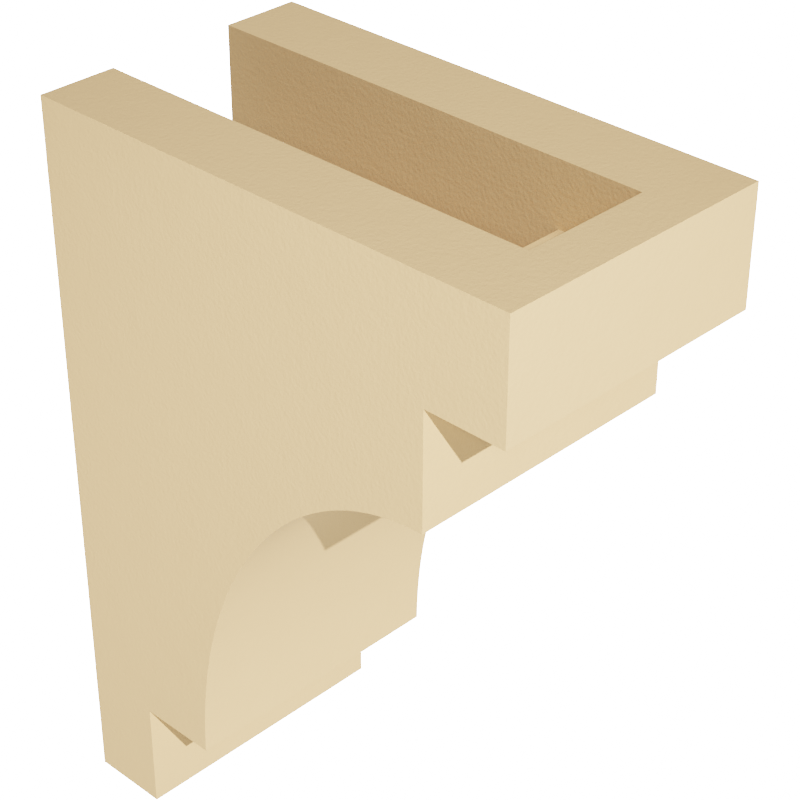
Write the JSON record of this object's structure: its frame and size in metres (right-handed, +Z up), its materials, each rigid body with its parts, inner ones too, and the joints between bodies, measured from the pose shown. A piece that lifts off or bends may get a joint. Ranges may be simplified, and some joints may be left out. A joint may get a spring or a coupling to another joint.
{
  "type": "corbel",
  "caption": "Hollow U-shaped corbel for a beam end or eave: stepped front, quarter-ellipse cove and small bottom step, open at the top and at the back.",
  "frame": {"origin": "on the wall plane, in the middle of the back edge of the floor: centred across the width, 12.7 mm above the underside", "axes": "+Z up, +Y into the wall, so the stepped front faces -Y, and +X across the width"},
  "size_m": [0.1396, 0.254, 0.3556],
  "materials": {
    "foam": "tan primer on moulded polyurethane foam, matt, with a fine stucco grain"
  },
  "bodies": {
    "root": {"corbel": "foam"}
  },
  "joints": []
}
